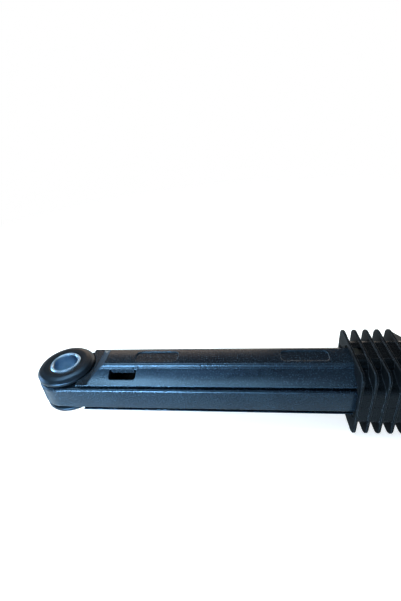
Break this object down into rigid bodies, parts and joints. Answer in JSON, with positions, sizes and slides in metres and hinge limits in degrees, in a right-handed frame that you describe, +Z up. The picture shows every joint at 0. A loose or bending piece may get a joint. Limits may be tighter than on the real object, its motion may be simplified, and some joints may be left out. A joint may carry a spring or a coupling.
{
  "type": "washing machine shock absorber",
  "caption": "Telescopic friction damper with a coved plastic rod sliding in a finned plastic housing and a rubber-bushed eye with a steel sleeve at each end.",
  "frame": {"origin": "centre of the housing eye's bore, halfway along its sleeve", "axes": "+X along the damper from the rod eye to the housing eye, +Y across it, +Z up along the eye bores"},
  "size_m": [0.2888, 0.0292, 0.0292],
  "materials": {
    "housing_plastic": "fine-grained moulded black plastic",
    "rod_plastic": "fine-grained moulded black plastic",
    "collar_plastic": "moulded dark plastic, slightly lighter than the housing",
    "lining": "greased friction lining",
    "rubber": "soft matte black",
    "steel": "zinc-plated, turned"
  },
  "bodies": {
    "housing_body": {"housing": "housing_plastic", "guide_collar": "collar_plastic", "housing_bush": "rubber"},
    "rod_body": {"rod": "rod_plastic", "rod_bush": "rubber", "friction_pad_top": "lining", "friction_pad_bottom": "lining", "friction_pad_near": "lining", "friction_pad_far": "lining"},
    "rod_sleeve_body": {"rod_sleeve": "steel"},
    "housing_sleeve_body": {"housing_sleeve": "steel"}
  },
  "joints": [
    {"name": "rod_slide", "type": "slide", "parent": "housing_body", "child": "rod_body", "axis": [1, 0, 0], "range_m": [0, 0.08]},
    {"name": "rod_sleeve_twist", "type": "hinge", "parent": "rod_body", "child": "rod_sleeve_body", "pos_m": [-0.265, 0, 0], "axis": [0, 0, 1], "range_deg": [-12, 12], "stiffness_Nm_per_rad": 0.4},
    {"name": "housing_sleeve_twist", "type": "hinge", "parent": "housing_body", "child": "housing_sleeve_body", "pos_m": [0, 0, 0], "axis": [0, 0, 1], "range_deg": [-12, 12], "stiffness_Nm_per_rad": 0.4}
  ]
}
